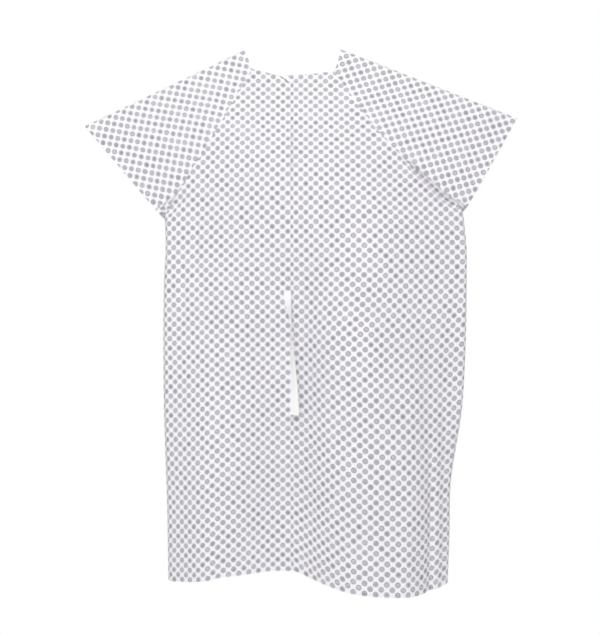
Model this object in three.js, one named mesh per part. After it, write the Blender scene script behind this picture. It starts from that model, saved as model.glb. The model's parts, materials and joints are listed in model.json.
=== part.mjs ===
// A patient gown: raglan sleeves, a back opening whose left panel laps over the right one, a bound
// neck and a pair of tape ties at the waist. Millimetres, +Z up. The origin is the middle of the neck
// opening at the height of the shoulder points. The opening faces -Y and the wearer faces +Y.
// Every cloth piece is a thin closed shell whose outer face follows one shared surface.
import * as THREE from "three";

// ---- Driving dimensions -------------------------------------------------------------------------
const CLOTH = 1; // thickness of one cloth layer
const SEAM_GAP = 0.8; // clear space between two pieces that are sewn edge to edge
const LAP_INSET = 5; // how far the right back panel lies under the left one
const LAP_FADE = 80; // width over which the right panel comes back out to the shared surface
const THREAD_INSET = CLOTH + 1.1; // outer face of a row of stitching, behind the cloth it holds
const THREAD = 0.8; // thickness of a row of stitching
const STITCH_WIDTH = 6; // width of an overlocked seam or a stitched hem row
const HEM_DEPTH = 18; // turned-up hem at the foot
const SLEEVE_HEM_DEPTH = 15;
const EDGE_HEM_DEPTH = 14; // turned edge down each side of the back opening

// Outline of each half as [x, z], seen from behind. The gown hangs a little towards its right.
const HALVES = {
  left: {
    sign: -1,
    neck: [-102, 0],
    tip: [-459, -172],
    raglan: [[-91, -41], [-171, -190], [-283, -376]],
    side: [[-270, -1164], [-285, -770], [-278, -440], [-283, -376]],
  },
  right: {
    sign: 1,
    neck: [102, 0],
    tip: [492, -154],
    raglan: [[88, -47], [207, -212], [371, -361]],
    side: [[336, -1168], [369, -770], [377, -460], [371, -361]],
  },
};
const UNDERARM_ROW = 0.7; // share of a body panel's rows that lies below the underarm
const SIDE_ROUND = 300; // distance over which the cloth rounds in from a side seam
const SHOULDER_ROUND = 200; // the same from the top fold of a sleeve
const SLEEVE_LENGTH = 253; // from the raglan seam to the sleeve's tip
const SLEEVE_FLATTEN = 0.4; // how much flatter a sleeve is at its hem than at the raglan seam

// Fullness of each layer off the middle plane, at the chest and at the foot, with its hanging folds.
const LAYERS = {
  back: { sign: -1, chest: 85, foot: 100, fold: 45, foldWidth: 235, foldFrom: -25 },
  front: { sign: 1, chest: 100, foot: 120, fold: -25, foldWidth: 190, foldFrom: 20 },
};
const FOLDS_START = -420; // the hanging folds grow from this height
const FOOT = -1160;
const FOLD_CLEARANCE = 0.7; // half the space kept between two layers where they close

// The two free edges of the back opening, as x at the foot and x at the neck.
const FREE_EDGE = { left: [-5, -5], right: [-115, -65] };
const FREE_EDGE_AT_UNDERARM = -372;
// Where each back flap folds open: x at the foot, x at its top, and the share of rows it spans.
const FLAP = {
  left: { foot: -225, top: -9, rows: 0.985 },
  right: { foot: 60, top: -90, rows: 0.45 },
};
const FLAP_TOP_WIDTH = 4;

// ---- Small maths --------------------------------------------------------------------------------
const { lerp, smoothstep } = THREE.MathUtils;

// Smooth curve through rising [t, value] knots.
function through(knots, t) {
  const last = knots.length - 1;
  let i = 1;
  while (i < last && t > knots[i][0]) i++;
  const slope = (j) => {
    const [a, b] = [knots[Math.max(j - 1, 0)], knots[Math.min(j + 1, last)]];
    return (b[1] - a[1]) / (b[0] - a[0]);
  };
  const [t0, value0] = knots[i - 1];
  const [t1, value1] = knots[i];
  const span = t1 - t0;
  const s = (t - t0) / span;
  const blend = s * s * (3 - 2 * s);
  const bend = span * (slope(i - 1) * s * (1 - s) ** 2 - slope(i) * s * s * (1 - s));
  return lerp(value0, value1, blend) + bend;
}

const byHeight = (points) => points.map(([x, z]) => [z, x]).sort((a, b) => a[0] - b[0]);
const sideX = (half, z) => through(byHeight(half.side), z);
const raglanX = (half, z) => through(byHeight(half.raglan), z);
const quarterRound = (t) => (t >= 1 ? 1 : Math.sqrt(Math.max(0, 1 - (1 - t) ** 2)));

// ---- The shared surface ---------------------------------------------------------------------------
// Distance below the top fold of a half, which runs from the neck to the sleeve's tip.
function belowTopFold(half, x, z) {
  const [dx, dz] = [half.tip[0] - half.neck[0], half.tip[1] - half.neck[1]];
  const across = (x - half.neck[0]) * dz - (z - half.neck[1]) * dx;
  return (half.sign * across) / Math.hypot(dx, dz);
}

// Distance in from a side seam, or from the underarm point above it.
function inFromSide(half, x, z) {
  const [armX, armZ] = half.raglan[2];
  return z > armZ ? Math.hypot(x - armX, z - armZ) : half.sign * (sideX(half, z) - x);
}

// Distance out beyond the straight line of the raglan seam, 0 on the body.
function beyondRaglan(half, x, z) {
  const [[topX, topZ], , [armX, armZ]] = half.raglan;
  const [dx, dz] = [armX - topX, armZ - topZ];
  const across = ((x - topX) * dz - (z - topZ) * dx) / Math.hypot(dx, dz);
  return z > armZ ? Math.max(0, -half.sign * across) : 0;
}

// The y of a layer at a point of the outline: 0 on every closed fold, fullest in the middle.
function layerY(layer, x, z) {
  const { sign, chest, foot, fold, foldWidth, foldFrom } = LAYERS[layer];
  let closing = 1;
  let sleeve = 0;
  for (const half of Object.values(HALVES)) {
    closing *= quarterRound(Math.max(0, belowTopFold(half, x, z)) / SHOULDER_ROUND);
    closing *= quarterRound(Math.max(0, inFromSide(half, x, z)) / SIDE_ROUND);
    sleeve = Math.max(sleeve, beyondRaglan(half, x, z) / SLEEVE_LENGTH);
  }
  const full = lerp(chest, foot, smoothstep(-z, -HALVES.left.raglan[2][1], -FOOT));
  const hanging = -fold * Math.cos((Math.PI * (x - foldFrom)) / foldWidth);
  const grown = smoothstep(-z, -FOLDS_START, -FOOT);
  const flatter = 1 - SLEEVE_FLATTEN * smoothstep(sleeve, 0, 1);
  return sign * (full + hanging * grown) * closing * flatter;
}

// ---- Pattern pieces as surfaces over u and v ------------------------------------------------------
// A body panel: `share` runs from its side edge (0) to its other edge (1), `row` from the foot to the
// neck, and the underarm is always at UNDERARM_ROW.
function rowHeight(levels, row, share) {
  const [foot, arm, neck] = levels.map((level) => level(share));
  return row < UNDERARM_ROW
    ? lerp(foot, arm, row / UNDERARM_ROW)
    : lerp(arm, neck, (row - UNDERARM_ROW) / (1 - UNDERARM_ROW));
}

function sideEdge(half, row) {
  const [top, , arm] = half.raglan;
  const foot = half.side[0];
  const z = rowHeight([() => foot[1], () => arm[1], () => top[1]], row, 0);
  const x = row < UNDERARM_ROW ? sideX(half, z) : raglanX(half, z) - (half.sign * SEAM_GAP) / 2;
  return [x, z];
}

const BACK_LEVELS = {
  left: [
    (share) => through([[0, -1164], [0.45, -1147], [0.87, -1142], [1, -1143]], share),
    (share) => lerp(-376, FREE_EDGE_AT_UNDERARM, share),
    (share) => through([[0, -41], [0.5, -51], [0.8, -56], [1, -64]], share),
  ],
  right: [
    (share) => through([[0, -1168], [0.3, -1166], [0.6, -1152], [1, -1141]], share),
    (share) => lerp(-361, FREE_EDGE_AT_UNDERARM, share),
    (share) => through([[0, -47], [0.5, -55], [1, -53]], share),
  ],
};

function backPanel(side) {
  const half = HALVES[side];
  const [footEdge, neckEdge] = FREE_EDGE[side];
  return (row, share) => {
    const x = lerp(sideEdge(half, row)[0], lerp(footEdge, neckEdge, row), share);
    const z = rowHeight(BACK_LEVELS[side], row, share);
    const under = side === "right" ? LAP_INSET * (1 - smoothstep(x, 0, LAP_FADE)) : 0;
    return new THREE.Vector3(x, layerY("back", x, z) - FOLD_CLEARANCE + under, z);
  };
}

// The share at which a back panel's flap starts, on the straight fold that runs down to the foot.
function flapShare(side, row) {
  const { foot, top, rows } = FLAP[side];
  if (row >= rows) return 1;
  const edge = sideEdge(HALVES[side], row)[0];
  const [footEdge, neckEdge] = FREE_EDGE[side];
  return (lerp(foot, top, row / rows) - edge) / (lerp(footEdge, neckEdge, row) - edge);
}

const FRONT_LEVELS = [
  (share) => through([[0, -1164], [0.3, -1152], [0.65, -1158], [1, -1168]], share),
  (share) => lerp(-376, -361, share),
  (share) => lerp(-41, -47, share) - 58 * 4 * share * (1 - share),
];

function frontPanel(row, share) {
  const [left, right] = [sideEdge(HALVES.left, row)[0], sideEdge(HALVES.right, row)[0]];
  const x = lerp(left, right, share);
  const z = rowHeight(FRONT_LEVELS, row, share);
  return new THREE.Vector3(x, layerY("front", x, z) + FOLD_CLEARANCE, z);
}

// A sleeve: `wrap` runs from the back raglan seam (-1) over the top fold (0) to the front one (1).
function sleeve(side) {
  const half = HALVES[side];
  return (along, wrap) => {
    const z = lerp(half.raglan[0][1], half.raglan[2][1], along);
    const seam = [raglanX(half, z) + (half.sign * SEAM_GAP) / 2, z];
    const fold = [lerp(half.neck[0], half.tip[0], along), lerp(half.neck[1], half.tip[1], along)];
    const w = Math.abs(wrap);
    const share = lerp(1 - Math.cos((Math.PI * w) / 2), (1 - Math.cos(Math.PI * w)) / 2, along);
    const [x, height] = [lerp(fold[0], seam[0], share), lerp(fold[1], seam[1], share)];
    const layer = wrap < 0 ? "back" : "front";
    const apart = Math.sign(wrap) * FOLD_CLEARANCE * Math.min(1, 4 * w);
    return new THREE.Vector3(x, layerY(layer, x, height) + apart, height);
  };
}

// ---- Solids -----------------------------------------------------------------------------------------
// Unit normal of a surface at (u, v), by differences that stay inside its range.
function normalAt(at, u, v) {
  const step = 1e-4;
  const [u0, u1] = [Math.max(0, u - step), Math.min(1, u + step)];
  const [v0, v1] = [Math.max(0, v - step), Math.min(1, v + step)];
  const alongU = at(u1, v).sub(at(u0, v));
  const alongV = at(u, v1).sub(at(u, v0));
  return alongU.cross(alongV).normalize();
}

// The surface moved in against its normal.
const inset = (at, distance) => (u, v) => at(u, v).addScaledVector(normalAt(at, u, v), -distance);

// A closed sheet of even thickness between at(u, v), whose normal points out, and its inset.
function sheet(at, columns, rows, thickness) {
  const faces = [at, inset(at, thickness)];
  const positions = [];
  for (const face of faces)
    for (const v of rows) for (const u of columns) positions.push(...face(u, v).toArray());
  const [wide, high] = [columns.length, rows.length];
  const id = (layer, i, j) => layer * wide * high + j * wide + i;
  const index = [];
  const quad = (a, b, c, d) => index.push(a, b, c, a, c, d);
  for (let j = 0; j < high - 1; j++)
    for (let i = 0; i < wide - 1; i++) {
      quad(id(0, i, j), id(0, i + 1, j), id(0, i + 1, j + 1), id(0, i, j + 1));
      quad(id(1, i, j), id(1, i, j + 1), id(1, i + 1, j + 1), id(1, i + 1, j));
    }
  for (let i = 0; i < wide - 1; i++) {
    quad(id(0, i, 0), id(1, i, 0), id(1, i + 1, 0), id(0, i + 1, 0));
    quad(id(0, i + 1, high - 1), id(1, i + 1, high - 1), id(1, i, high - 1), id(0, i, high - 1));
  }
  for (let j = 0; j < high - 1; j++) {
    quad(id(0, 0, j + 1), id(1, 0, j + 1), id(1, 0, j), id(0, 0, j));
    quad(id(0, wide - 1, j), id(1, wide - 1, j), id(1, wide - 1, j + 1), id(0, wide - 1, j + 1));
  }
  const geometry = new THREE.BufferGeometry();
  geometry.setAttribute("position", new THREE.Float32BufferAttribute(positions, 3));
  geometry.setIndex(index);
  return geometry;
}

const steps = (count, from = 0, to = 1) =>
  Array.from({ length: count + 1 }, (_, i) => lerp(from, to, i / count));
const easeIn = (u) => 1 - Math.cos((Math.PI * u) / 2); // fine steps near 0
const easeBoth = (u) => (1 - Math.cos(Math.PI * u)) / 2; // fine steps near 0 and 1

// ---- Materials --------------------------------------------------------------------------------------
const matte = (color, roughness) =>
  new THREE.MeshStandardMaterial({ color, roughness, metalness: 0 });
const MATERIALS = {
  print: matte(0xe6e5ec, 0.9),
  binding: matte(0xf6f6f7, 0.85),
  tape: matte(0xf4f4f5, 0.8),
  thread: matte(0xededf0, 0.7),
  label: matte(0xf2f2f0, 0.75),
  plastic: matte(0xe9e9ea, 0.4),
};

const gown = new THREE.Group();
function add(name, geometry, material) {
  const mesh = new THREE.Mesh(geometry, MATERIALS[material]);
  mesh.name = name;
  gown.add(mesh);
  return mesh;
}

// ---- Body panels --------------------------------------------------------------------------------------
const FOOT_ROW = 0.02; // a short first row, so that the hem's stitching lies on flat facets
const SIDE_ROWS = [0, ...steps(12, FOOT_ROW, UNDERARM_ROW)];
const RAGLAN_ROWS = steps(7, UNDERARM_ROW, 1);
const BODY_ROWS = [...SIDE_ROWS, ...RAGLAN_ROWS.slice(1)];

// Turns (row, share) into (u, v) with the outer face's normal pointing out.
const facing = (panel, shareAt, flip) => (u, v) => panel(v, shareAt(flip ? 1 - u : u, v));

// A row of stitching behind a patch of a surface.
function stitching(name, at, columns, rows) {
  add(name, sheet(inset(at, THREAD_INSET), columns, rows, THREAD), "thread");
}

// Where a line across a surface, from parameter `from` towards `to`, is `distance` from its start.
function reach(line, from, to, distance) {
  const start = line(from);
  let [near, far] = [from, to];
  for (let halving = 0; halving < 24; halving++) {
    const middle = (near + far) / 2;
    if (start.distanceTo(line(middle)) < distance) near = middle;
    else far = middle;
  }
  return near;
}

// A strip along the edge of a surface at u = edge, `from` to `from + width` in from it.
const alongEdge = (at, edge, from, width) => (u, v) => {
  const distance = from + width * (edge ? 1 - u : u);
  return at(reach((s) => at(s, v), edge, 1 - edge, distance), v);
};

// The rows between which a turned-up hem of a depth is stitched, measured at u.
const hemRows = (at, u, depth) =>
  [depth - STITCH_WIDTH, depth].map((height) => reach((v) => at(u, v), 0, 1, height));

const FOLD_GAP = 1; // clear space along the fold of a back flap
const FLAP_ROWS_CUT = 0.012; // the flap stops this much short of the top of its fold

function addBackPanel(side) {
  const panel = backPanel(side);
  const flip = side === "right";
  const flapRows = FLAP[side].rows;
  const flapTop = flapRows - FLAP_ROWS_CUT;
  const bodyShare = (u, row) => {
    const gap = FOLD_GAP / panel(row, 0).distanceTo(panel(row, 1));
    return easeIn(u) * (row < flapRows ? flapShare(side, row) - gap : 1);
  };
  const flapSpan = (u, row) => lerp(flapShare(side, row), 1, u);
  const body = facing(panel, bodyShare, flip);
  const flap = facing(panel, flapSpan, flip);
  const bodyRows = [...BODY_ROWS, flapTop, flapRows].sort((a, b) => a - b);
  const rowsOfFlap = [...BODY_ROWS.filter((row) => row < flapTop), flapTop];
  const bodyColumns = steps(flip ? 14 : 9);
  const flapColumns = steps(flip ? 6 : 8);
  add(`back_panel_${side}`, sheet(body, bodyColumns, bodyRows, CLOTH), "print");
  add(`back_flap_${side}`, sheet(flap, flapColumns, rowsOfFlap, CLOTH), "print");

  const sideSeam = alongEdge(body, flip ? 1 : 0, 0, STITCH_WIDTH);
  stitching(`side_seam_${side}`, sideSeam, [0, 1], SIDE_ROWS.slice(2, -1));
  stitching(`raglan_seam_back_${side}`, sideSeam, [0, 1], RAGLAN_ROWS.slice(1));
  const clearOfSeam = flip ? bodyColumns.slice(0, -2) : bodyColumns.slice(2);
  stitching(`hem_stitching_back_${side}`, body, clearOfSeam, hemRows(body, 0.5, HEM_DEPTH));
  const clearOfEdge = flip ? flapColumns.slice(1) : flapColumns.slice(0, -1);
  stitching(`hem_stitching_flap_${side}`, flap, clearOfEdge, hemRows(flap, 0.5, HEM_DEPTH));
  return { body, flap, bodyRows, rowsOfFlap };
}

// The stitched edge of the back opening, in from a piece's free edge at u = edge.
function addEdgeStitching(name, at, edge, rows) {
  const strip = alongEdge(at, edge, EDGE_HEM_DEPTH - STITCH_WIDTH, STITCH_WIDTH);
  stitching(name, strip, [0, 1], rows);
}

const left = addBackPanel("left");
const right = addBackPanel("right");
const wideEnough = (row) => row > 0 && row < 0.85;
addEdgeStitching("edge_stitching_left", left.flap, 1, left.rowsOfFlap.filter(wideEnough));
const aboveFlap = (row) => row > FLAP.right.rows;
addEdgeStitching("edge_stitching_right", right.body, 0, right.bodyRows.filter(aboveFlap));
addEdgeStitching("edge_stitching_flap_right", right.flap, 0, right.rowsOfFlap.slice(1, -2));

const front = facing(frontPanel, easeBoth, true);
const FRONT_COLUMNS = steps(20);
add("front_panel", sheet(front, FRONT_COLUMNS, BODY_ROWS, CLOTH), "print");
for (const [side, edge] of [["right", 0], ["left", 1]]) {
  const seam = alongEdge(front, edge, 0, STITCH_WIDTH);
  stitching(`raglan_seam_front_${side}`, seam, [0, 1], RAGLAN_ROWS.slice(1));
}
const frontHem = hemRows(front, 0.5, HEM_DEPTH);
stitching("hem_stitching_front", front, FRONT_COLUMNS.slice(1, -1), frontHem);

// ---- Sleeves ------------------------------------------------------------------------------------------
function addSleeve(side) {
  const surface = sleeve(side);
  const turn = side === "left" ? 1 : -1;
  const at = (u, v) => surface(1 - v, turn * (1 - 2 * u));
  const columns = steps(18);
  const rows = [0, 0.09, ...steps(6, 1 / 7, 1)];
  add(`sleeve_${side}`, sheet(at, columns, rows, CLOTH), "print");
  const clearOfUnderarm = columns.slice(3, -3);
  stitching(`sleeve_hem_${side}`, at, clearOfUnderarm, hemRows(at, 0.25, SLEEVE_HEM_DEPTH));
}
addSleeve("left");
addSleeve("right");

// ---- Neck binding ---------------------------------------------------------------------------------------
const BINDING_WIDTH = 8;
const BINDING_THICKNESS = 2;
const BINDING_LEAN = 0.42; // how far the binding leans in over the neck as it rises
const BINDING_GAP = 0.5;

// Points of the neck edge, from the left panel's corner round the front to the right panel's corner.
function neckEdge() {
  const points = [];
  const edges = [
    [backPanel("left"), (t) => [1, 1 - t], 6],
    [sleeve("left"), (t) => [0, 2 * t - 1], 18],
    [frontPanel, (t) => [1, t], 12],
    [sleeve("right"), (t) => [0, 1 - 2 * t], 18],
    [backPanel("right"), (t) => [1, t], 9],
  ];
  for (const [surface, place, count] of edges)
    for (const t of steps(count).slice(points.length ? 1 : 0)) points.push(surface(...place(t)));
  return points;
}

function addBinding() {
  const edge = neckEdge();
  const curve = new THREE.CatmullRomCurve3(edge, false, "centripetal");
  const middle = new THREE.Vector3(0, 8, 0);
  const at = (u, v) => {
    const point = curve.getPoint(v);
    const along = curve.getTangent(v);
    const inward = middle.clone().sub(point).setZ(0).normalize();
    const up = new THREE.Vector3(0, 0, 1).addScaledVector(inward, BINDING_LEAN);
    up.addScaledVector(along, -up.dot(along)).normalize();
    const out = along.clone().cross(up).normalize();
    point.addScaledVector(up, BINDING_GAP + BINDING_WIDTH * (1 - u));
    return point.addScaledVector(out, (BINDING_THICKNESS + CLOTH) / 2);
  };
  add("neck_binding", sheet(at, [0, 1], steps(edge.length - 1), BINDING_THICKNESS), "binding");
}
addBinding();

// ---- Fastenings -------------------------------------------------------------------------------------------
const TAPE_WIDTH = 20;
const TAPE = 0.9; // thickness of the twill tape
const TIE_TOP = -531;
const TIE_LENGTH = 264;
const SEWN_WIDTH = 15; // the tape is pinched to this where it is sewn down

// The left panel's tie: sewn on beside the free edge, it turns half over about its own edge as it
// hangs, so that it lies to the left of that edge at the top and to the right of it at the bottom.
const OUTER_TIE = { x: -4.5, y: layerY("back", -10, TIE_TOP) - 4 };
const TIE_SIDE_ON = 0.31; // share of its length at which the tape is side-on

function outerTie(u, v) {
  const down = 1 - v;
  const turn = through([[0, Math.PI], [TIE_SIDE_ON, Math.PI / 2], [1, 0.05]], down);
  const width = lerp(SEWN_WIDTH, TAPE_WIDTH, smoothstep(down, 0, 0.15)) * u;
  const x = OUTER_TIE.x + width * Math.cos(turn);
  return new THREE.Vector3(x, OUTER_TIE.y - width * Math.sin(turn), TIE_TOP - TIE_LENGTH * down);
}

// The right panel's tie hangs down the inner face of that panel, beside its free edge.
const INNER_TIE_X = -84;
const INNER_TIE_DEPTH = 8; // from the shared surface, clear of the panel and its stitching

function innerTie(u, v) {
  const x = INNER_TIE_X + TAPE_WIDTH * u;
  const z = TIE_TOP - TIE_LENGTH * (1 - v);
  return new THREE.Vector3(x, layerY("back", x, z) + INNER_TIE_DEPTH, z);
}

function addTies() {
  add("waist_tie_outer", sheet(outerTie, [0, 0.5, 1], steps(24), TAPE), "tape");
  add("waist_tie_inner", sheet(innerTie, [0, 1], steps(10), TAPE), "tape");
  const tack = (name, x, y, z) => {
    add(name, new THREE.BoxGeometry(SEWN_WIDTH - 2, 1, 3), "thread").position.set(x, y, z);
  };
  tack("bar_tack_outer", OUTER_TIE.x - SEWN_WIDTH / 2, OUTER_TIE.y + 1.2, TIE_TOP - 4);
  const inner = innerTie(0.5, 1);
  tack("bar_tack_inner", inner.x, inner.y + 0.9, TIE_TOP + 3);
}
addTies();

// A sewn press stud, hidden in the overlap below the binding, holds the neck shut.
const SNAP = { radius: 5, plate: 0.95, post: 1.6, postHeight: 0.75, row: 0.955, share: 0.82 };

function lathe(profile) {
  return new THREE.LatheGeometry(profile.map(([r, y]) => new THREE.Vector2(r, y)), 16);
}

function placeOn(mesh, at, u, v, depth) {
  const normal = normalAt(at, u, v);
  mesh.position.copy(at(u, v).addScaledVector(normal, -depth));
  mesh.quaternion.setFromUnitVectors(new THREE.Vector3(0, 1, 0), normal);
}

function addSnap() {
  const { radius, plate, post, postHeight, row, share } = SNAP;
  const [hole, cap, clear] = [post + 0.4, 0.2, 0.3];
  const socket = [[0, plate], [radius, plate], [radius, 0], [hole, 0], [hole, plate - cap]];
  socket.push([0, plate - cap]);
  const stud = [[0, postHeight], [post, postHeight], [post, 0], [radius, 0], [radius, -plate]];
  stud.push([0, -plate]);
  const depth = CLOTH + 0.6 + plate;
  placeOn(add("neck_snap_socket", lathe(socket.reverse()), "plastic"), left.body, share, row, depth);
  placeOn(add("neck_snap_stud", lathe(stud.reverse()), "plastic"), left.body, share, row, depth + clear);
}
addSnap();

// A blank label hangs inside the front neck.
function addLabel() {
  const [width, height, below] = [34, 46, 14];
  const centre = 0.5;
  const halfWide = centre - reach((u) => front(u, 0.9), centre, 0, width / 2);
  const down = (v) => front(centre, v);
  const [topRow, lowRow] = [below, below + height].map((drop) => reach(down, 1, 0, drop));
  const columns = [centre - halfWide, centre, centre + halfWide];
  add("care_label", sheet(inset(front, CLOTH + 1.4), columns, [lowRow, topRow], 0.6), "label");
}
addLabel();

export default gown;
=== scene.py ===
"""The looks of a patient gown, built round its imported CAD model.

The gown hangs open side towards -Y. Every cloth piece is a thin closed shell whose outer face follows
one shared surface, with turned hems, and it carries a small repeat of dotted rings.
Shapes are worked out in millimetres and written to the meshes in metres.
"""

import json
import math

import bpy
import numpy as np
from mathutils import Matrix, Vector


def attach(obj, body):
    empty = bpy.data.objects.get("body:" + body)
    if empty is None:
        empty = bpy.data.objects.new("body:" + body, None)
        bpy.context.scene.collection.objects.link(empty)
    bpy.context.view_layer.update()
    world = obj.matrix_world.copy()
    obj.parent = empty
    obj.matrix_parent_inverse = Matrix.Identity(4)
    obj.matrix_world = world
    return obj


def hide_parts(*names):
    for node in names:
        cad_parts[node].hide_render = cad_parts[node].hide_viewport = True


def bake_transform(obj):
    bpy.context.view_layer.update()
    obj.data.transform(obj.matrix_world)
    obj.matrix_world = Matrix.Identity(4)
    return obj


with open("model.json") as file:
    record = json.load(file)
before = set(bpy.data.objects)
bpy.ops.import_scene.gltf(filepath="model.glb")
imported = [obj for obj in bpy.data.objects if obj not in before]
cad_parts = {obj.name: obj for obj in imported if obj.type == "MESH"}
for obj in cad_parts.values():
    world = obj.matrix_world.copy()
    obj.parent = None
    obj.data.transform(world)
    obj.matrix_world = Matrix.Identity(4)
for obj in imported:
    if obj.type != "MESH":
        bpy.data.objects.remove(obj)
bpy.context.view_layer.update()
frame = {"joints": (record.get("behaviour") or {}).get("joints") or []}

MM = 0.001
CLOTH = 0.42  # thickness of one layer of cloth
TURN = 0.5  # radius of the fold at the edge of a hem
HEM_DEPTH = 18
SLEEVE_HEM_DEPTH = 15
EDGE_HEM_DEPTH = 14
GRID = 4.6  # spacing of the cloth's fine grid


# ---- Camera and light ----
EYE = (0.0143, -1.9, -0.584)
EYE_TILT = 0.002  # radians down
LENS = 48.75


def add_object(name, data):
    made = bpy.data.objects.new(name, data)
    bpy.context.scene.collection.objects.link(made)
    return made


def add_camera():
    data = bpy.data.cameras.new("camera")
    data.lens, data.sensor_width = LENS, 36
    data.clip_start, data.clip_end = 0.05, 50
    camera = add_object("camera", data)
    camera.location = EYE
    camera.rotation_euler = (math.pi / 2 - EYE_TILT, 0, 0)
    bpy.context.scene.camera = camera


add_camera()


# ---- Small maths ----
def lerp(a, b, t):
    return a + (b - a) * t


def smooth(x, low, high):
    t = np.clip((np.asarray(x, float) - low) / (high - low), 0, 1)
    return t * t * (3 - 2 * t)


def through(knots, t):
    """Smooth curve through rising (t, value) knots."""
    at, value = np.array(sorted(knots), float).T
    last = len(at) - 1
    ahead, behind = np.minimum(np.arange(last + 1) + 1, last), np.maximum(np.arange(last + 1) - 1, 0)
    slope = (value[ahead] - value[behind]) / (at[ahead] - at[behind])
    t = np.clip(np.asarray(t, float), at[0], at[-1])
    i = np.clip(np.searchsorted(at, t, side="left"), 1, last)
    span = at[i] - at[i - 1]
    s = (t - at[i - 1]) / span
    bend = span * (slope[i - 1] * s * (1 - s) ** 2 - slope[i] * s * s * (1 - s))
    return lerp(value[i - 1], value[i], s * s * (3 - 2 * s)) + bend


WEDGE_POWER = 1.25


def flat_fold(distance, reach, round_share, round_width):
    """0 on a pressed fold, then a slim wedge that reaches 1: only its last few mm are round."""
    rounded = np.sqrt(1 - (1 - np.clip(distance / round_width, 0, 1)) ** 2)
    wedge = 1 - (1 - np.clip(distance / reach, 0, 1)) ** WEDGE_POWER
    return lerp(wedge, rounded, round_share)


def unit(v):
    return v / np.maximum(np.linalg.norm(v, axis=-1, keepdims=True), 1e-9)


# ---- The shared surface ----
# Outline of each half as (x, z), seen from behind. The gown hangs a little towards its right.
HALVES = {
    "left": {
        "sign": -1,
        "neck": (-102.8, 5),
        "tip": (-460.7, -165.5),
        "raglan": ((-91, -41), (-171, -190), (-284, -371)),
        "side": ((-276, -1162), (-279, -987), (-286, -766), (-286, -523), (-282, -435), (-284, -371)),
    },
    "right": {
        "sign": 1,
        "neck": (102.7, 5),
        "tip": (493.5, -147.8),
        "raglan": ((88, -47), (206, -214), (372, -355.5)),
        "side": ((337, -1168), (341, -1062), (344, -943), (370, -766), (379, -457), (372, -355.5)),
    },
}
UNDERARM_ROW = 0.7
ARM_REACH = 250
SIDE_REACH = {"left": (240, 110), "right": (280, 110)}  # below the underarm, and at the foot
SHOULDER_REACH = 310
# The round part of each fold: its share of the depth, and its width.
SIDE_FOLD = {"left": (0.38, 13), "right": (0.54, 12)}
SHOULDER_FOLD = (0.14, 10)
SLEEVE_LENGTH = 253
SLEEVE_FLATTEN = 0.5
CHEST = {"back": 86, "front": 98}  # fullness of each layer off the middle plane
# Fullness of each hanging layer as (x, y) at the foot: the back falls in a hollow beside the opening.
FOOT_FULLNESS = {
    "back": ((-340, 88), (-210, 98), (-130, 88), (-50, 60), (0, 56), (30, 66), (70, 96), (112, 122),
             (155, 131), (195, 128), (245, 118), (286, 108), (302, 110), (340, 104)),
    "front": ((-340, 96), (-170, 128), (-60, 118), (20, 92), (110, 96), (210, 126), (340, 106)),
}
FOLDS_FROM, FOLDS_FULL = -190, -700
FOLD_CLEARANCE = 0.7
LAP_INSET, LAP_DEEPER, LAP_FADE = 2.3, 2.2, 70
FREE_EDGE = {"left": (-5, -5), "right": (-115, -65)}  # x of each back panel's edge, at foot and neck
EDGE_LIFT, EDGE_LIFT_WIDTH = 7.0, 12  # the left panel's edge stands off the right panel in places


def edge_x(half, edge, z):
    return through([(z, x) for x, z in half[edge]], z)


def off_line(start, end, x, z):
    """Signed distance from the straight line through two points."""
    dx, dz = np.subtract(end, start)
    return ((x - start[0]) * dz - (z - start[1]) * dx) / math.hypot(dx, dz)


def in_from_side(side, x, z):
    """How far in from a side seam or the underarm point, and how far in the cloth reaches full depth."""
    half = HALVES[side]
    arm_x, arm_z = half["raglan"][2]
    below_arm, at_foot = SIDE_REACH[side]
    reach = lerp(below_arm, at_foot, smooth(-z, 560, 1000))
    reach = lerp(ARM_REACH, reach, smooth(arm_z - z, 0, 150))
    from_side = half["sign"] * (edge_x(half, "side", z) - x)
    distance = np.where(z > arm_z, np.hypot(x - arm_x, z - arm_z), from_side)
    return np.maximum(0, distance), reach


# Soft valleys pressed into the back, as ((x, z) points, half width, depth).
CREASES = (
    (((-207, -365), (-208, -520)), 5, 4.0),
    (((-236, -455), (-237, -620)), 6, 3.0),
    (((-232, -306), (-256, -340), (-284, -374)), 10, 10.0),
    (((232, -240), (268, -276), (324, -330), (372, -358)), 6.5, 15.0),
    (((150, -330), (345, -372)), 26, 4.0),
    (((-60, -300), (-262, -400)), 30, 3.0),
    (((292, -880), (288, -1250)), 7, 9.0),
    (((322, -700), (318, -1300)), 7, 3.0),
    (((-140, -640), (-168, -1300)), 30, 5.0),
    (((60, -520), (78, -1150)), 30, -4.0),
    (((250, -560), (262, -1150)), 30, -3.5),
    (((-330, -196), (-300, -330)), 16, 3.0),
    (((395, -176), (392, -320)), 16, 3.0),
    (((-120, -60), (-210, -280)), 24, 2.5),
    (((120, -75), (180, -270)), 22, -2.5),
)


def distance_to(points, x, z):
    """Distance from a chain of straight pieces, and the share along it of the nearest point."""
    best, along = np.full(np.shape(x), 1e9), np.zeros(np.shape(x))
    count = len(points) - 1
    for i in range(count):
        (ax, az), (bx, bz) = points[i], points[i + 1]
        length = (bx - ax) ** 2 + (bz - az) ** 2
        t = np.clip(((x - ax) * (bx - ax) + (z - az) * (bz - az)) / length, 0, 1)
        d = np.hypot(x - ax - t * (bx - ax), z - az - t * (bz - az))
        along = np.where(d < best, (i + t) / count, along)
        best = np.minimum(best, d)
    return best, along


WAVES = np.random.default_rng(11).uniform(0, 2 * math.pi, (7, 2))


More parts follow.
